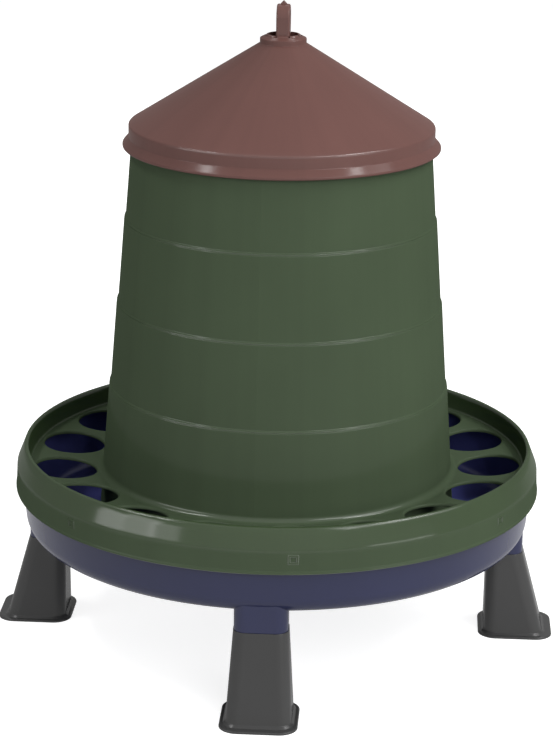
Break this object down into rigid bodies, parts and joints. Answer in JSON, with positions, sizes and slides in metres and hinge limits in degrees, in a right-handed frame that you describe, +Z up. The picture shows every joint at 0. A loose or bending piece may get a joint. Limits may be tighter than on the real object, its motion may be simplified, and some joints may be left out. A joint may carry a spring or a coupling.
{
  "type": "hopper feeder",
  "caption": "Poultry hopper feeder with a tapered green drum and grid, brown cone lid with hanging eye, blue dish and dark grey push-on legs.",
  "frame": {"origin": "centre of the feeder on the ground, under the middle of the dish", "axes": "+Z up through the drum, -Y towards the front leg"},
  "size_m": [0.454, 0.454, 0.5103],
  "materials": {
    "green_plastic": "satin",
    "brown_plastic": "satin",
    "blue_plastic": "satin",
    "grey_plastic": "satin"
  },
  "bodies": {
    "root": {"hanger": "brown_plastic", "lid": "brown_plastic", "hopper": "green_plastic", "feed_dish": "blue_plastic", "leg_front": "grey_plastic", "leg_right": "grey_plastic", "leg_back": "grey_plastic", "leg_left": "grey_plastic"}
  },
  "joints": []
}
